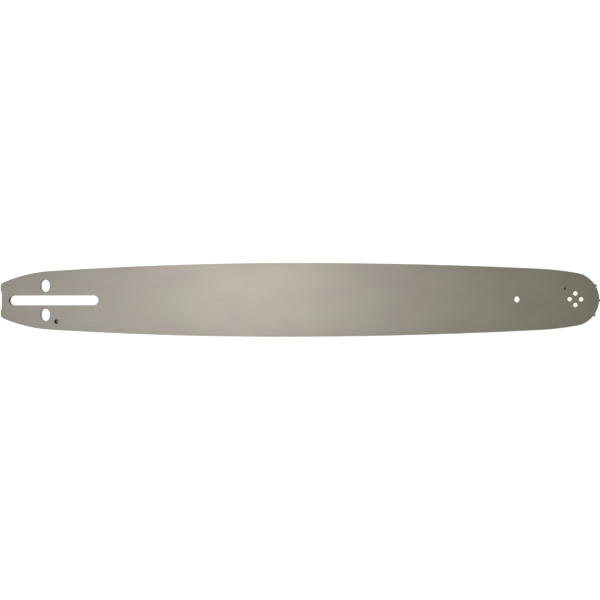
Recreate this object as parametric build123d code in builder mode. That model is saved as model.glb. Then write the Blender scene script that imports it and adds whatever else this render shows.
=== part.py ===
from build123d import *
from math import asin, cos, pi, sin
import os

# Guide bar of a chainsaw, with a sprocket nose. Three steel sheets lie face to face: two side
# plates, whose edges are the rails, and a smaller core that leaves a groove for the chain between
# them. A toothed sprocket turns between the side plates at the nose, on loose rollers around a hub.
# +X runs from the tail to the nose and +Z up through the thickness. The origin is on the surface
# that the bar lies on, under the middle of its length. Sizes are in millimetres and degrees.

# Outline of the side plates
bar_length = 590.0
bar_width = 73.0
widest_from_tail = 285.5
tail_width = 33.4
tail_corner_radius = 4.9
tail_recess_width = 15.0
tail_recess_depth = 1.15
tail_recess_slope = 2.4
tail_recess_radius = 1.6
heel_from_tail = 49.0
heel_width = 58.0
nose_radius = 26.5
neck_from_nose = 58.4
neck_rise = 3.85
rail_chamfer = 0.3

# Sheets and groove
plate_thickness = 1.6
groove_width = 1.5
groove_depth = 7.0

# Holes that go through all three sheets
slot_from_tail = 8.1
slot_length = 88.3
slot_width = 9.65
tensioner_from_tail = 43.8
tensioner_spacing = 28.8
tensioner_width = 9.4
tensioner_length = 12.2
hanging_from_nose = 80.6
hanging_diameter = 6.4

# Holes that go through one side plate
oil_from_tail = 55.2
oil_offset = 20.9
oil_diameter = 4.4
grease_back = 10.4
grease_offset = 10.6
grease_diameter = 2.2

# Nose bearing: hub, rollers, sprocket and rivets
nose_axis_ahead = 2.8
hub_diameter = 19.4
roller_diameter = 4.9
running_clearance = 0.03
side_clearance = 0.08
sprocket_teeth = 10
tooth_reach = 2.3
sprocket_root_diameter = 35.0
sprocket_room = 1.0
tooth_valley_radius = 4.2
tooth_tip_width = 2.0
first_tooth_angle = -2.6
rivet_count = 4
rivet_circle = 11.3
rivet_diameter = 4.4
rivet_clearance = 0.02

# Places worked out from the sizes above
tail_x = -bar_length / 2
nose_x = bar_length / 2
bar_thickness = 2 * plate_thickness + groove_width
slot_start_x = tail_x + slot_from_tail
tensioner_x = tail_x + tensioner_from_tail
oil_x = tail_x + oil_from_tail
nose_axis_x = nose_x - nose_radius + nose_axis_ahead
sprocket_radius = nose_x + tooth_reach - nose_axis_x
sprocket_z = plate_thickness + side_clearance
sprocket_thickness = groove_width - 2 * side_clearance
roller_circle_radius = hub_diameter / 2 + running_clearance + roller_diameter / 2
sprocket_bore_radius = roller_circle_radius + roller_diameter / 2 + running_clearance

os.makedirs("parts", exist_ok=True)

# Outline that the plates and the core share. Each arc of its upper half starts in line with the
# one before it. The shoulder arc also meets the round of the nose in line, which sets its radius.
tail_corner = Vector(tail_x, tail_width / 2)
heel = Vector(tail_x + heel_from_tail, heel_width / 2)
widest = Vector(tail_x + widest_from_tail, bar_width / 2)
neck = Vector(nose_x - neck_from_nose, nose_radius + neck_rise)
nose_centre = Vector(nose_x - nose_radius, 0)

with BuildSketch() as bar_outline:
    with BuildLine():
        rear_edge = TangentArc(widest, heel, tangent=(-1, 0))
        TangentArc(heel, tail_corner, tangent=rear_edge % 1)
        Line(tail_corner, (tail_x, 0))
        front_edge = TangentArc(widest, neck, tangent=(1, 0))
        inward = (front_edge % 1).rotate(Axis.Z, -90)
        reach = neck - nose_centre
        shoulder_radius = (nose_radius**2 - reach.dot(reach)) / 2 / (nose_radius + inward.dot(reach))
        shoulder_centre = neck + inward * shoulder_radius
        lean = (nose_centre - shoulder_centre) * (1 / (shoulder_radius - nose_radius))
        shoulder = TangentArc(neck, nose_centre + lean * nose_radius, tangent=front_edge % 1)
        TangentArc(shoulder @ 1, (nose_x, 0), tangent=shoulder % 1)
        Line((nose_x, 0), (tail_x, 0))
    make_face()
    mirror(about=Plane.XZ)

# Holes punched through the whole stack: the slot for the bar studs, one hole on each side of it
# for the chain tensioner's pin, and a hole to hang the bar by.
with BuildSketch() as stack_holes:
    with Locations((slot_start_x + slot_length / 2, 0)):
        SlotOverall(slot_length, slot_width)
    with Locations((tensioner_x, tensioner_spacing / 2), (tensioner_x, -tensioner_spacing / 2)):
        SlotOverall(tensioner_length, tensioner_width, rotation=90)
    with Locations((nose_x - hanging_from_nose, 0)):
        Circle(hanging_diameter / 2)

# Upper side plate: the outline with a shallow recess between two rounded lobes at the tail, an oil
# inlet, a grease hole at the nose, and holes for the rivets.
with BuildPart() as side_plate_top:
    with BuildSketch(Plane.XY.offset(plate_thickness + groove_width)) as plate_profile:
        add(bar_outline.sketch)
        with BuildLine():
            Polyline(
                (tail_x, -tail_recess_width / 2 - tail_recess_slope),
                (tail_x + tail_recess_depth, -tail_recess_width / 2),
                (tail_x + tail_recess_depth, tail_recess_width / 2),
                (tail_x, tail_recess_width / 2 + tail_recess_slope),
                close=True,
            )
        make_face(mode=Mode.SUBTRACT)
        tail_vertices = plate_profile.vertices().sort_by(Axis.X)[:6].sort_by(Axis.Y)
        fillet(tail_vertices[1:5], tail_recess_radius)
        tail_vertices = plate_profile.vertices().group_by(Axis.X)[0].sort_by(Axis.Y)
        fillet((tail_vertices[0], tail_vertices[-1]), tail_corner_radius)
        add(stack_holes.sketch, mode=Mode.SUBTRACT)
        with Locations((oil_x, -oil_offset)):
            Circle(oil_diameter / 2, mode=Mode.SUBTRACT)
        with Locations((nose_axis_x - grease_back, grease_offset)):
            Circle(grease_diameter / 2, mode=Mode.SUBTRACT)
        with Locations((nose_axis_x, 0)):
            with PolarLocations(rivet_circle / 2, rivet_count):
                Circle(rivet_diameter / 2 + rivet_clearance, mode=Mode.SUBTRACT)
    extrude(amount=plate_thickness)
    outer_face = side_plate_top.faces().sort_by(Axis.Z)[-1]
    chamfer(outer_face.outer_wire().edges(), rail_chamfer)

side_plate_top.part.label = "side_plate_top"
export_step(side_plate_top.part, "parts/side_plate_top.step")

# Lower side plate: the same sheet turned over about the bar's long axis, so that the bar fits the
# saw either way up.
with BuildPart() as side_plate_bottom:
    add(side_plate_top.part.rotate(Axis((0, 0, bar_thickness / 2), (1, 0, 0)), 180))

side_plate_bottom.part.label = "side_plate_bottom"
export_step(side_plate_bottom.part, "parts/side_plate_bottom.step")

# Core plate: the outline set in by the groove's depth, open at the tail end of the slot, hollowed
# round the sprocket, and notched so that oil runs from each inlet into the groove.
with BuildPart() as core_plate:
    with BuildSketch(Plane.XY.offset(plate_thickness)):
        add(bar_outline.sketch)
        offset(amount=-groove_depth, kind=Kind.INTERSECTION)
        with Locations((slot_start_x + slot_width / 2, 0)):
            Rectangle(bar_length, bar_width, align=(Align.MAX, Align.CENTER), mode=Mode.SUBTRACT)
        add(stack_holes.sketch, mode=Mode.SUBTRACT)
        with Locations((nose_axis_x, 0)):
            Circle(sprocket_radius + sprocket_room, mode=Mode.SUBTRACT)
        notch_y = oil_offset + groove_depth / 2
        with Locations((oil_x, notch_y), (oil_x, -notch_y)):
            SlotCenterToCenter(groove_depth, oil_diameter, rotation=90, mode=Mode.SUBTRACT)
    extrude(amount=groove_width)

core_plate.part.label = "core_plate"
export_step(core_plate.part, "parts/core_plate.step")

# Bearing hub: the inner race, as thick as the groove, held between the plates by the rivets
with BuildPart() as bearing_hub:
    with BuildSketch(Plane.XY.offset(plate_thickness)):
        with Locations((nose_axis_x, 0)):
            Circle(hub_diameter / 2)
            with PolarLocations(rivet_circle / 2, rivet_count):
                Circle(rivet_diameter / 2 + rivet_clearance, mode=Mode.SUBTRACT)
    extrude(amount=groove_width)

bearing_hub.part.label = "bearing_hub"
export_step(bearing_hub.part, "parts/bearing_hub.step")

# Nose rivets: set flush in both side plates, with the hub clamped between them
with BuildPart() as nose_rivets:
    with BuildSketch():
        with Locations((nose_axis_x, 0)):
            with PolarLocations(rivet_circle / 2, rivet_count):
                Circle(rivet_diameter / 2)
    extrude(amount=bar_thickness)

nose_rivets.part.label = "nose_rivets"
export_step(nose_rivets.part, "parts/nose_rivets.step")

# Nose sprocket: a thin star that runs free between the plates. Each gap between two teeth is a
# round valley that widens to its mouth at the tips, where the chain's drive links drop in.
half_pitch = 180 / sprocket_teeth
tooth_tip = Vector(sprocket_radius, 0).rotate(Axis.Z, half_pitch)

with BuildSketch() as tooth_gap:
    with Locations((sprocket_root_diameter / 2 + tooth_valley_radius, 0)):
        Circle(tooth_valley_radius)
    with Locations((tooth_tip.X, 0)):
        mouth_width = 2 * tooth_tip.Y - tooth_tip_width
        Rectangle(sprocket_radius, mouth_width, align=(Align.MIN, Align.CENTER))
    make_hull()

with BuildPart() as nose_sprocket:
    with BuildSketch(Plane.XY.offset(sprocket_z)):
        with Locations((nose_axis_x, 0)):
            Circle(sprocket_radius)
            Circle(sprocket_bore_radius, mode=Mode.SUBTRACT)
            with PolarLocations(0, sprocket_teeth, first_tooth_angle + half_pitch):
                add(tooth_gap.sketch, mode=Mode.SUBTRACT)
    extrude(amount=sprocket_thickness)

nose_sprocket.part.label = "nose_sprocket"
export_step(nose_sprocket.part, "parts/nose_sprocket.step")

# Bearing rollers: as many loose ones as fit side by side between the hub and the sprocket's bore
roller_count = int(pi / asin(roller_diameter / 2 / roller_circle_radius))
for number in range(1, roller_count + 1):
    turn = 2 * pi * number / roller_count
    with BuildPart() as roller:
        roller_x = nose_axis_x + roller_circle_radius * cos(turn)
        with Locations((roller_x, roller_circle_radius * sin(turn), bar_thickness / 2)):
            Cylinder(roller_diameter / 2, sprocket_thickness)
    roller.part.label = f"roller_{number:02d}"
    export_step(roller.part, f"parts/roller_{number:02d}.step")
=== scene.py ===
import math

import bpy
import numpy as np
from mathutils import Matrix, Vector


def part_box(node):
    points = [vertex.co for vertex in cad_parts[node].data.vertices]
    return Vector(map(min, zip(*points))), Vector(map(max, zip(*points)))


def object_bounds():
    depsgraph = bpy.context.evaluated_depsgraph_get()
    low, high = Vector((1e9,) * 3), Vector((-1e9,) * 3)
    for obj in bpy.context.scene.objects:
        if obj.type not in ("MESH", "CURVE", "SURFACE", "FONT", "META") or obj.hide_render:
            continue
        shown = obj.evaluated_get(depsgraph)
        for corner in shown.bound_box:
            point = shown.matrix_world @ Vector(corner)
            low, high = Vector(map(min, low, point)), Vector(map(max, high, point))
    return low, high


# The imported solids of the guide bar: two side plates and a core, riveted at the nose round a hub,
# with a sprocket that runs on rollers between them. Lengths below are metres, in the solids' frame.
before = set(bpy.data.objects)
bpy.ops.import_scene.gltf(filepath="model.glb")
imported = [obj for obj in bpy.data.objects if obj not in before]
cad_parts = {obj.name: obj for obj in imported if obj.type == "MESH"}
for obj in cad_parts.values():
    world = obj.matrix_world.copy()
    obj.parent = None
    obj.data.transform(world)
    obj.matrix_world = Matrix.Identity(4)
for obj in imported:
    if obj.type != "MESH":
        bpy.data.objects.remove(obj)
cad_box = [list(corner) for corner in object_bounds()]
millimetre = 0.001

# Core plate: the middle sheet of the bar, cut from cold-rolled steel a little smaller than the side
# plates, so that its edge is the floor of the chain groove, darkened with painted shade. Spot welds
# hold it between them.
core_colour = (0.33, 0.32, 0.30, 1.0)
core_wall_painted_shade = -0.7
core_roughness = 0.5
core_line_span = (30.0 * millimetre, 0.3 * millimetre, 0.3 * millimetre)
core_line_contrast = 0.12
core_line_depth = 0.004 * millimetre
core_cloud_span = (120.0 * millimetre, 60.0 * millimetre, 60.0 * millimetre)
core_cloud_contrast = 0.15


def feed(tree, socket, value):
    """Links an input socket to an output socket, or sets it to a value."""
    if isinstance(value, bpy.types.NodeSocket):
        tree.links.new(value, socket)
    else:
        socket.default_value = value


def calculate(tree, operation, first, second=0.0, third=0.0, clamp=False):
    """A Math node on values or sockets, as its output socket."""
    node = tree.nodes.new("ShaderNodeMath")
    node.operation = operation
    node.use_clamp = clamp
    for socket, value in zip(node.inputs, (first, second, third)):
        feed(tree, socket, value)
    return node.outputs[0]


def axes(tree, vector):
    """The X, Y and Z of a vector, as output sockets."""
    split = tree.nodes.new("ShaderNodeSeparateXYZ")
    tree.links.new(vector, split.inputs[0])
    return split.outputs["X"], split.outputs["Y"], split.outputs["Z"]


def stretched_noise(tree, vector, spans, detail, roughness):
    """Noise from 0 to 1 on coordinates divided by a span along each axis, as an output socket."""
    divide = tree.nodes.new("ShaderNodeVectorMath")
    divide.operation = "DIVIDE"
    tree.links.new(vector, divide.inputs[0])
    feed(tree, divide.inputs[1], spans)
    noise = tree.nodes.new("ShaderNodeTexNoise")
    noise.inputs["Scale"].default_value = 1.0
    noise.inputs["Detail"].default_value = detail
    noise.inputs["Roughness"].default_value = roughness
    tree.links.new(divide.outputs[0], noise.inputs["Vector"])
    return noise.outputs["Fac"]


def new_socket(tree, name, kind, direction):
    """One named socket of a shader node group."""
    tree.interface.new_socket(name, in_out=direction, socket_type=f"NodeSocket{kind}")


def make_mill_grain():
    """Fine lines of a rolled or ground surface and slow clouding, both as noise and as a shade about 1."""
    tree = bpy.data.node_groups.new("mill_grain", "ShaderNodeTree")
    for name in ("Vector", "Line Span", "Cloud Span"):
        new_socket(tree, name, "Vector", "INPUT")
    for name in ("Line Contrast", "Cloud Contrast"):
        new_socket(tree, name, "Float", "INPUT")
    for name in ("Shade", "Lines", "Clouds"):
        new_socket(tree, name, "Float", "OUTPUT")
    source = tree.nodes.new("NodeGroupInput").outputs
    result = tree.nodes.new("NodeGroupOutput").inputs
    lines = stretched_noise(tree, source["Vector"], source["Line Span"], detail=4.0, roughness=0.7)
    clouds = stretched_noise(tree, source["Vector"], source["Cloud Span"], detail=2.0, roughness=0.5)
    shade = 1.0
    for noise, contrast in ((lines, source["Line Contrast"]), (clouds, source["Cloud Contrast"])):
        centred = calculate(tree, "SUBTRACT", noise, 0.5)
        shade = calculate(tree, "MULTIPLY_ADD", centred, contrast, shade)
    tree.links.new(shade, result["Shade"])
    tree.links.new(lines, result["Lines"])
    tree.links.new(clouds, result["Clouds"])
    return tree


def make_cut_edges(wall_below=0.35, face_above=0.97):
    """Masks from how far the surface faces up or down: 1 on walls across the sheet, and 1 on bevels."""
    tree = bpy.data.node_groups.new("cut_edges", "ShaderNodeTree")
    new_socket(tree, "Normal", "Vector", "INPUT")
    for name in ("Wall", "Bevel"):
        new_socket(tree, name, "Float", "OUTPUT")
    source = tree.nodes.new("NodeGroupInput").outputs
    result = tree.nodes.new("NodeGroupOutput").inputs
    upright = calculate(tree, "ABSOLUTE", axes(tree, source["Normal"])[2])
    wall = calculate(tree, "LESS_THAN", upright, wall_below)
    face = calculate(tree, "GREATER_THAN", upright, face_above)
    bevel = calculate(tree, "SUBTRACT", calculate(tree, "SUBTRACT", 1.0, wall), face)
    tree.links.new(wall, result["Wall"])
    tree.links.new(bevel, result["Bevel"])
    return tree


mill_grain = make_mill_grain()
cut_edges = make_cut_edges()


def new_steel(name):
    """A new metal material, with its tree, its shader, and its Object coordinates and normals."""
    material = bpy.data.materials.new(name)
    material.use_nodes = True
    tree = material.node_tree
    shader = tree.nodes["Principled BSDF"]
    shader.inputs["Metallic"].default_value = 1.0
    surface = tree.nodes.new("ShaderNodeTexCoord").outputs
    return material, tree, shader, surface["Object"], surface["Normal"]


def use_group(tree, group, **inputs):
    """A node group placed in a material, with values or sockets for its named inputs."""
    node = tree.nodes.new("ShaderNodeGroup")
    node.node_tree = group
    for name, value in inputs.items():
        feed(tree, node.inputs[name.replace("_", " ")], value)
    return node.outputs


def mix_colour(tree, amount, first, second, blend="MIX"):
    """A colour Mix node on colours or sockets, as its output socket."""
    node = tree.nodes.new("ShaderNodeMix")
    node.data_type = "RGBA"
    node.blend_type = blend
    sockets = {socket.identifier: socket for socket in node.inputs}
    for key, value in (("Factor_Float", amount), ("A_Color", first), ("B_Color", second)):
        feed(tree, sockets[key], value)
    return next(socket for socket in node.outputs if socket.identifier == "Result_Color")


def change_shade(tree, shade, mask, change):
    """A shade made lighter or darker by a share of itself where a mask is 1."""
    return calculate(tree, "MULTIPLY", shade, calculate(tree, "MULTIPLY_ADD", mask, change, 1.0))


def shaded(tree, colour, shade):
    """A colour multiplied by a grey shade, as an output socket."""
    grey = tree.nodes.new("ShaderNodeCombineColor")
    for socket in grey.inputs:
        tree.links.new(shade, socket)
    return mix_colour(tree, 1.0, colour, grey.outputs[0], "MULTIPLY")


def raise_lines(tree, shader, height, depth):
    """A Bump node of that depth in metres on the shader's normal."""
    bump = tree.nodes.new("ShaderNodeBump")
    bump.inputs["Strength"].default_value = 1.0
    bump.inputs["Distance"].default_value = depth
    tree.links.new(height, bump.inputs["Height"])
    tree.links.new(bump.outputs[0], shader.inputs["Normal"])


def dress(material, *nodes):
    """Gives a finish to solids of the frame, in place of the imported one."""
    for node in nodes:
        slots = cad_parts[node].data.materials
        slots.clear()
        slots.append(material)


core_steel, tree, shader, place, direction = new_steel("core_steel")
grain = use_group(
    tree, mill_grain, Vector=place, Line_Span=core_line_span, Line_Contrast=core_line_contrast,
    Cloud_Span=core_cloud_span, Cloud_Contrast=core_cloud_contrast,
)
edges = use_group(tree, cut_edges, Normal=direction)
shade = change_shade(tree, grain["Shade"], edges["Wall"], core_wall_painted_shade)
tree.links.new(shaded(tree, core_colour, shade), shader.inputs["Base Color"])
shader.inputs["Roughness"].default_value = core_roughness
raise_lines(tree, shader, grain["Lines"], core_line_depth)
dress(core_steel, "core_plate")

# Side plates: two like sheets of tempered steel, blanked to the bar's outline and ground along their
# length to a warm satin grey. The edges are the rails, hardened, bevelled and ground bright. Holes have
# duller punched walls, and walls and inner faces are darkened with painted shade, most deeply in the oil
# inlet, at the slot's tail end and round the bearing.
plate_warm_colour = (0.44, 0.398, 0.352, 1.0)
# Towards the nose the olive colour is a painted tint of the light there; elsewhere it varies at random.
plate_olive_colour = (0.43, 0.402, 0.322, 1.0)
olive_from_x = 90.0 * millimetre
olive_fade = 110.0 * millimetre
olive_painted_light_share, olive_by_clouds, olive_everywhere = 0.8, 0.4, -0.1
rosy_tint = (1.015, 0.992, 1.006, 1.0)
green_tint = (0.985, 1.008, 0.994, 1.0)
tint_span = (50.0 * millimetre, 30.0 * millimetre, 30.0 * millimetre)
tint_contrast = 3.0
plate_line_span = (30.0 * millimetre, 0.3 * millimetre, 0.3 * millimetre)
plate_line_contrast = 0.35
plate_line_depth = 0.008 * millimetre
plate_cloud_span = (45.0 * millimetre, 22.0 * millimetre, 22.0 * millimetre)
plate_cloud_contrast = 0.2
plate_roughness = 0.44
line_roughness = 0.16
bevel_shade = 0.1

plate_low, plate_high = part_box("side_plate_top")
half_width = plate_high.y
widest_x = -9.5 * millimetre
rear_radius, front_radius = 3732.0 * millimetre, 4927.0 * millimetre
heel_x, heel_radius = -246.0 * millimetre, 131.0 * millimetre
shoulder_x, shoulder_radius = 236.6 * millimetre, 279.0 * millimetre
nose_radius = 26.5 * millimetre
nose_centre_x = plate_high.x - nose_radius
# Painted shade darkens the faces towards the bar's edge.
edge_fade_width = 16.0 * millimetre
edge_painted_shade = -0.055
rail_reach = 2.0 * millimetre
rail_colour = (0.42, 0.41, 0.39, 1.0)
rail_roughness = -0.12
# The punched walls of holes are darkened with painted shade.
punched_painted_shade, punched_roughness = -0.25, 0.1

core_low, core_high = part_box("core_plate")
middle_z = (core_low.z + core_high.z) / 2
skin_depth = 0.15 * millimetre
inner_reach = (core_high.z - core_low.z) / 2 + skin_depth
# The inner faces between the sheets are darkened with painted shade.
inner_painted_shade, inner_roughness = -0.35, 0.15

hub_low, hub_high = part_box("bearing_hub")
nose_axis_x = (hub_low.x + hub_high.x) / 2
# Round the bearing, walls are darkened further with painted shade.
bearing_shade_radius = 18.0 * millimetre
bearing_painted_shade = -0.7
# In the oil inlet and at the slot's tail end, walls and inner faces get deeper painted shade.
slot_end_x = plate_low.x + 8.1 * millimetre
slot_shade_reach = 3.0 * millimetre
inlet_x = plate_low.x + 55.2 * millimetre
inlet_offset = 20.9 * millimetre
inlet_shade_reach = 3.6 * millimetre
recess_shade_fade = 1.2 * millimetre
recess_painted_shade = -0.7
lit_spot_radius = 1.1 * millimetre


def offsets(tree, place, centre_x):
    """Lengths from a point of the bar's middle line, along it and across it, counted as positive."""
    x, y, z = axes(tree, place)
    along = calculate(tree, "ABSOLUTE", calculate(tree, "SUBTRACT", x, centre_x))
    return along, calculate(tree, "ABSOLUTE", y)


def diagonal(tree, first, second):
    """Diagonal of a rectangle with these sides: the root of the sum of their squares."""
    squares = calculate(tree, "MULTIPLY_ADD", first, first, calculate(tree, "MULTIPLY", second, second))
    return calculate(tree, "SQRT", squares)


def ramp(tree, value, start, span):
    """0 up to a start, then rising with the value to 1 over a span."""
    return calculate(tree, "DIVIDE", calculate(tree, "SUBTRACT", value, start), span, clamp=True)


def bend(tree, past, radius):
    """How far an arc has turned aside: half the length past its start squared, over its radius."""
    past = calculate(tree, "MAXIMUM", past, 0.0)
    return calculate(tree, "MULTIPLY", calculate(tree, "MULTIPLY", past, past), 0.5 / radius)


def edge_distance(tree, place):
    """Distance from the bar's edge: half the width, less the bends of the edge's arcs at that place
    along the bar, less the distance from the middle line; at the nose, radius less distance."""
    x, y, z = axes(tree, place)
    across = calculate(tree, "ABSOLUTE", y)
    side = calculate(tree, "SUBTRACT", half_width, across)
    for start, radius in ((widest_x, front_radius), (shoulder_x, shoulder_radius)):
        ahead = calculate(tree, "SUBTRACT", x, start)
        side = calculate(tree, "SUBTRACT", side, bend(tree, ahead, radius))
    for start, radius in ((widest_x, rear_radius), (heel_x, heel_radius)):
        behind = calculate(tree, "SUBTRACT", start, x)
        side = calculate(tree, "SUBTRACT", side, bend(tree, behind, radius))
    from_nose = calculate(tree, "SUBTRACT", x, nose_centre_x)
    behind_nose = calculate(tree, "LESS_THAN", from_nose, 0.0)
    inside = calculate(tree, "SUBTRACT", nose_radius, diagonal(tree, from_nose, across))
    return calculate(tree, "MINIMUM", side, calculate(tree, "ADD", inside, behind_nose))


def near_middle(tree, place):
    """1 on the inner faces, which keep the dull skin of the sheet and get painted shade, and 0 farther from
    the middle.
    """
    x, y, z = axes(tree, place)
    height = calculate(tree, "ABSOLUTE", calculate(tree, "SUBTRACT", z, middle_z))
    return calculate(tree, "LESS_THAN", height, inner_reach)


plate_steel, tree, shader, place, direction = new_steel("plate_steel")
grain = use_group(
    tree, mill_grain, Vector=place, Line_Span=plate_line_span, Line_Contrast=plate_line_contrast,
    Cloud_Span=plate_cloud_span, Cloud_Contrast=plate_cloud_contrast,
)
edges = use_group(tree, cut_edges, Normal=direction)

# The olive tone grows towards the nose as a painted tint of the dimmer, warmer light there, in clouds that
# differ at random, under a faint rosy and green mottling.
to_nose = ramp(tree, axes(tree, place)[0], olive_from_x, olive_fade)
clouding = calculate(tree, "MULTIPLY_ADD", grain["Clouds"], olive_by_clouds, olive_everywhere)
olive = calculate(tree, "MULTIPLY_ADD", to_nose, olive_painted_light_share, clouding, clamp=True)
tone = mix_colour(tree, olive, plate_warm_colour, plate_olive_colour)
mottling = stretched_noise(tree, place, tint_span, detail=1.0, roughness=0.5)
mottling = calculate(tree, "MULTIPLY_ADD", mottling, tint_contrast, 0.5 - 0.5 * tint_contrast, clamp=True)
tone = mix_colour(tree, 1.0, tone, mix_colour(tree, mottling, rosy_tint, green_tint), "MULTIPLY")

# Walls are rails near the bar's edge and punched elsewhere.
inset = edge_distance(tree, place)
rail = calculate(tree, "MULTIPLY", edges["Wall"], calculate(tree, "LESS_THAN", inset, rail_reach))
punched = calculate(tree, "SUBTRACT", edges["Wall"], rail)
tone = mix_colour(tree, rail, tone, rail_colour)

# Behind each oil inlet, a small spot of the other plate's inner face is left without painted shade, where
# light falls in.
along, across = offsets(tree, place, inlet_x)
from_inlet = diagonal(tree, along, calculate(tree, "SUBTRACT", across, inlet_offset))
lit_spot = calculate(tree, "LESS_THAN", from_inlet, lit_spot_radius)
inner = near_middle(tree, place)
inner = calculate(tree, "SUBTRACT", inner, calculate(tree, "MULTIPLY", inner, lit_spot))

# Deeper painted shade lies on walls round the bearing, and on walls and inner faces in the oil inlet and at
# the slot's tail end.
from_axis = diagonal(tree, *offsets(tree, place, nose_axis_x))
bearing_shade_mask = calculate(tree, "MULTIPLY", edges["Wall"], calculate(tree, "LESS_THAN", from_axis, bearing_shade_radius))
within_inlet_shade = calculate(tree, "SUBTRACT", inlet_shade_reach, from_inlet)
from_slot_end = diagonal(tree, *offsets(tree, place, slot_end_x))
within_slot_shade = calculate(tree, "SUBTRACT", slot_shade_reach, from_slot_end)
within_recess_shade = calculate(tree, "MAXIMUM", within_inlet_shade, within_slot_shade)
recess_shade_mask = calculate(tree, "DIVIDE", within_recess_shade, recess_shade_fade, clamp=True)
recess_shade_mask = calculate(tree, "MULTIPLY", recess_shade_mask, calculate(tree, "MAXIMUM", punched, inner))

# The faces darken a little towards the bar's edge, as painted shade.
edge_fade = calculate(tree, "SUBTRACT", 1.0, ramp(tree, inset, 0.0, edge_fade_width))
edge_fade = calculate(tree, "MULTIPLY", edge_fade, edge_fade)
shade = calculate(tree, "MULTIPLY_ADD", edge_fade, edge_painted_shade, grain["Shade"])
# Painted shade on walls, inner faces, round the bearing, in the oil inlet and at the slot's tail end.
for mask, change in (
    (punched, punched_painted_shade), (edges["Bevel"], bevel_shade), (inner, inner_painted_shade),
    (bearing_shade_mask, bearing_painted_shade), (recess_shade_mask, recess_painted_shade),
):
    shade = change_shade(tree, shade, mask, change)
tree.links.new(shaded(tree, tone, shade), shader.inputs["Base Color"])
smoothest = plate_roughness - line_roughness / 2
roughness = calculate(tree, "MULTIPLY_ADD", grain["Lines"], line_roughness, smoothest)
for mask, change in ((punched, punched_roughness), (rail, rail_roughness), (inner, inner_roughness)):
    roughness = calculate(tree, "MULTIPLY_ADD", mask, change, roughness)
tree.links.new(roughness, shader.inputs["Roughness"])
raise_lines(tree, shader, grain["Lines"], plate_line_depth)
dress(plate_steel, "side_plate_top", "side_plate_bottom")

# Bearing hub and rollers: the inner race is a turned ring of hardened steel, clamped by the rivets.
# Loose rollers run round it inside the sprocket, ground smooth. Hub and rollers are near black, as painted
# shade.
bearing_shade_colour = (0.06, 0.057, 0.052, 1.0)
bearing_roughness = 0.3
bearing_line_span = (10.0 * millimetre, 10.0 * millimetre, 0.1 * millimetre)
bearing_line_contrast = 0.15
bearing_line_depth = 0.001 * millimetre
bearing_cloud_contrast = 0.1
bearing_steel, tree, shader, place, direction = new_steel("bearing_steel")
grain = use_group(
    tree, mill_grain, Vector=place, Line_Span=bearing_line_span, Line_Contrast=bearing_line_contrast,
    Cloud_Span=core_cloud_span, Cloud_Contrast=bearing_cloud_contrast,
)
tree.links.new(shaded(tree, bearing_shade_colour, grain["Shade"]), shader.inputs["Base Color"])
shader.inputs["Roughness"].default_value = bearing_roughness
raise_lines(tree, shader, grain["Lines"], bearing_line_depth)
rollers = [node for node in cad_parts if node.startswith("roller_")]
dress(bearing_steel, "bearing_hub", *rollers)

# Nose sprocket: a ten-pointed star stamped from sheet steel and hardened dark, near black round its bore as
# painted shade.
# It runs free between the side plates and carries the chain round the nose, which rubs its flanks and
# tips bright.
sprocket_colour = (0.24, 0.23, 0.215, 1.0)
sprocket_worn_colour = (0.38, 0.365, 0.34, 1.0)
sprocket_roughness, worn_roughness = 0.44, 0.30
worn_from_radius = 21.0 * millimetre
worn_fade = 4.0 * millimetre
worn_on_faces = 0.4
sprocket_line_span = (2.0 * millimetre, 2.0 * millimetre, 0.3 * millimetre)
sprocket_line_contrast = 0.2
sprocket_line_depth = 0.003 * millimetre
sprocket_cloud_contrast = 0.06
sprocket_steel, tree, shader, place, direction = new_steel("sprocket_steel")
grain = use_group(
    tree, mill_grain, Vector=place, Line_Span=sprocket_line_span, Line_Contrast=sprocket_line_contrast,
    Cloud_Span=core_cloud_span, Cloud_Contrast=sprocket_cloud_contrast,
)
edges = use_group(tree, cut_edges, Normal=direction)
radius = diagonal(tree, *offsets(tree, place, nose_axis_x))
rubbed = ramp(tree, radius, worn_from_radius, worn_fade)
worn_share = calculate(tree, "MULTIPLY_ADD", edges["Wall"], 1.0 - worn_on_faces, worn_on_faces)
wear = calculate(tree, "MULTIPLY", rubbed, worn_share)
# Round the bore, the sprocket takes the bearing's painted shade colour.
bearing_shade_mask = calculate(tree, "LESS_THAN", radius, bearing_shade_radius)
tone = mix_colour(tree, bearing_shade_mask, sprocket_colour, bearing_shade_colour)
tone = mix_colour(tree, wear, tone, sprocket_worn_colour)
tree.links.new(shaded(tree, tone, grain["Shade"]), shader.inputs["Base Color"])
roughness = calculate(tree, "MULTIPLY_ADD", wear, worn_roughness - sprocket_roughness, sprocket_roughness)
tree.links.new(roughness, shader.inputs["Roughness"])
raise_lines(tree, shader, grain["Lines"], sprocket_line_depth)
dress(sprocket_steel, "nose_sprocket")

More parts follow.
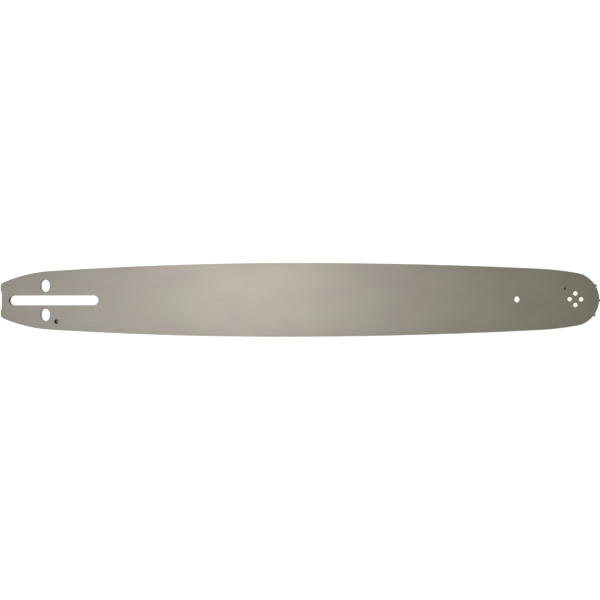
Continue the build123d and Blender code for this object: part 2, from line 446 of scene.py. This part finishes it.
# Nose rivets: four steel pins through both plates and the hub. Each end is spun over in its hole and
# ground flush, which leaves a bright disc with fine rings and a dark hairline round it.
rivet_colour = (0.80, 0.775, 0.69, 1.0)
rivet_roughness = 0.13
rivet_circle_radius = 5.65 * millimetre
rivet_radius = 2.2 * millimetre
rim_colour = (0.30, 0.28, 0.25, 1.0)
rim_roughness = 0.38
rim_width = 0.08 * millimetre
rim_fade = rim_width / 2
ring_spacing = 0.28 * millimetre
ring_contrast = 0.07
ring_depth = 0.0002 * millimetre
rivet_line_span = (3.0 * millimetre, 0.2 * millimetre, 0.2 * millimetre)
rivet_line_contrast = 0.03
rivet_cloud_contrast = 0.06
rivet_steel, tree, shader, place, direction = new_steel("rivet_steel")
grain = use_group(
    tree, mill_grain, Vector=place, Line_Span=rivet_line_span, Line_Contrast=rivet_line_contrast,
    Cloud_Span=core_cloud_span, Cloud_Contrast=rivet_cloud_contrast,
)
along, across = offsets(tree, place, nose_axis_x)
outward = calculate(tree, "SUBTRACT", calculate(tree, "MAXIMUM", along, across), rivet_circle_radius)
radius = diagonal(tree, outward, calculate(tree, "MINIMUM", along, across))
rim = ramp(tree, radius, rivet_radius - rim_width, rim_fade)
tone = mix_colour(tree, rim, rivet_colour, rim_colour)
rings = calculate(tree, "SINE", calculate(tree, "MULTIPLY", radius, 2 * math.pi / ring_spacing))
shade = calculate(tree, "MULTIPLY_ADD", rings, ring_contrast, grain["Shade"])
tree.links.new(shaded(tree, tone, shade), shader.inputs["Base Color"])
roughness = calculate(tree, "MULTIPLY_ADD", rim, rim_roughness - rivet_roughness, rivet_roughness)
tree.links.new(roughness, shader.inputs["Roughness"])
raise_lines(tree, shader, rings, ring_depth)
dress(rivet_steel, "nose_rivets")

# Studio: a white floor that sweeps up into a low round wall, so that no horizon shows. It glows
# white to the camera and in reflections, and still takes the bar's shadow.
floor_radius = 2.0
sweep_radius = 0.8
wall_height = 0.4
floor_drop = 0.02 * millimetre
paper_colour = (0.85, 0.85, 0.85, 1.0)
glow_strength = 0.7


def swept_floor(steps=24, turns=96):
    """A profile carried round the Z axis: flat out to a radius, a quarter circle up, then a wall."""
    angle = np.linspace(0.0, math.pi / 2, steps)
    sweep_reach = floor_radius + sweep_radius * np.sin(angle)
    sweep_rise = sweep_radius * (1 - np.cos(angle))
    reach = np.concatenate(([0.0], sweep_reach, [floor_radius + sweep_radius]))
    rise = np.concatenate(([0.0], sweep_rise, [sweep_radius + wall_height])) - floor_drop
    turn = np.linspace(0.0, 2 * math.pi, turns, endpoint=False)
    x, y = reach[:, None] * np.cos(turn), reach[:, None] * np.sin(turn)
    points = np.stack(np.broadcast_arrays(x, y, rise[:, None]), axis=-1).reshape(-1, 3)
    row, column = np.meshgrid(np.arange(len(reach) - 1), np.arange(turns), indexing="ij")
    after = (column + 1) % turns
    near, far = row * turns, (row + 1) * turns
    corners = (near + column, far + column, far + after, near + after)
    faces = np.stack(corners, axis=-1).reshape(-1, 4)
    mesh = bpy.data.meshes.new("floor")
    mesh.from_pydata(points.tolist(), [], faces.tolist())
    return mesh


floor = bpy.data.objects.new("floor", swept_floor())
bpy.context.scene.collection.objects.link(floor)
floor_white = bpy.data.materials.new("floor_white")
floor_white.use_nodes = True
tree = floor_white.node_tree
tree.nodes.clear()
paper = tree.nodes.new("ShaderNodeBsdfDiffuse")
paper.inputs["Color"].default_value = paper_colour
glow = tree.nodes.new("ShaderNodeEmission")
ray = tree.nodes.new("ShaderNodeLightPath").outputs
seen = calculate(tree, "MAXIMUM", ray["Is Camera Ray"], ray["Is Glossy Ray"])
seen = calculate(tree, "MAXIMUM", seen, ray["Is Transmission Ray"])
tree.links.new(calculate(tree, "MULTIPLY", seen, glow_strength), glow.inputs["Strength"])
both = tree.nodes.new("ShaderNodeAddShader")
tree.links.new(paper.outputs[0], both.inputs[0])
tree.links.new(glow.outputs[0], both.inputs[1])
output = tree.nodes.new("ShaderNodeOutputMaterial")
tree.links.new(both.outputs[0], output.inputs["Surface"])
floor.data.materials.append(floor_white)

# Light: a softbox overhead makes the broad sheen on the tail's side of the middle, wide weak ones lift
# the tail and the nose, and a small card shows in the bright rivets. The room fills the rest: pale walls
# under a dim ceiling, both brighter and cooler towards the tail, and a tall window on each side.
ceiling_tail_colour = (0.235, 0.25, 0.28, 1.0)
ceiling_nose_colour = (0.072, 0.068, 0.05, 1.0)
wall_tail_colour = (1.05, 1.05, 1.05, 1.0)
wall_nose_colour = (0.70, 0.70, 0.66, 1.0)
window_colour = (1.7, 1.7, 1.7, 1.0)
nose_share_slope, nose_share_overhead = 1.46, 0.17
wall_top, wall_fade = 0.80, 0.45
window_edge, window_fade = 0.62, 0.28
softbox_height = 1.05
room = bpy.data.worlds.new("room")
bpy.context.scene.world = room
room.use_nodes = True
tree = room.node_tree
x, y, z = axes(tree, tree.nodes.new("ShaderNodeTexCoord").outputs["Generated"])
to_nose = calculate(tree, "MULTIPLY_ADD", x, nose_share_slope, nose_share_overhead, clamp=True)
ceiling = mix_colour(tree, to_nose, ceiling_tail_colour, ceiling_nose_colour)
walls = mix_colour(tree, to_nose, wall_tail_colour, wall_nose_colour)
low = calculate(tree, "DIVIDE", calculate(tree, "SUBTRACT", wall_top, z), wall_fade, clamp=True)
window = ramp(tree, calculate(tree, "ABSOLUTE", y), window_edge, window_fade)
room_colour = mix_colour(tree, low, ceiling, mix_colour(tree, window, walls, window_colour))
tree.links.new(room_colour, tree.nodes["Background"].inputs["Color"])


def soft_lamp(name, place, size, brightness, colour):
    """A rectangle of light facing down. Its power is brightness times pi times its area."""
    lamp = bpy.data.lights.new(name, "AREA")
    lamp.shape = "RECTANGLE"
    lamp.size, lamp.size_y = size
    lamp.energy = brightness * math.pi * size[0] * size[1]
    lamp.color = colour
    holder = bpy.data.objects.new(name, lamp)
    holder.location = place
    holder.visible_camera = False
    bpy.context.scene.collection.objects.link(holder)


soft_lamp(
    "sheen_softbox", place=(-0.10, 0.06, softbox_height), size=(0.20, 0.30),
    brightness=7.0, colour=(1.0, 0.99, 0.98),
)
soft_lamp(
    "tail_softbox", place=(-0.54, -0.10, softbox_height), size=(0.45, 1.2),
    brightness=0.79, colour=(1.0, 1.0, 0.95),
)
soft_lamp(
    "nose_softbox", place=(0.36, 0.10, softbox_height), size=(0.40, 1.0),
    brightness=0.55, colour=(1.0, 0.985, 0.90),
)
soft_lamp("rivet_card", place=(0.61, 0.0, 0.875), size=(0.08, 0.08), brightness=1.75, colour=(1.0, 1.0, 1.0))

# Camera: straight above the bar and near enough for the far walls of its holes to show. It is
# turned a fraction of a degree, as the photograph was.
frame_width = 0.591
camera_height = 0.7
camera_x, camera_y = 0.07 * millimetre, -0.15 * millimetre
camera_turn = math.radians(-0.12)
camera = bpy.data.cameras.new("camera")
camera.sensor_width = 36.0
camera.lens = camera.sensor_width * camera_height / frame_width
viewer = bpy.data.objects.new("camera", camera)
viewer.location = (camera_x, camera_y, cad_box[1][2] + camera_height)
viewer.rotation_euler = (0.0, 0.0, camera_turn)
bpy.context.scene.collection.objects.link(viewer)
bpy.context.scene.camera = viewer
bpy.context.scene.view_settings.view_transform = "Standard"
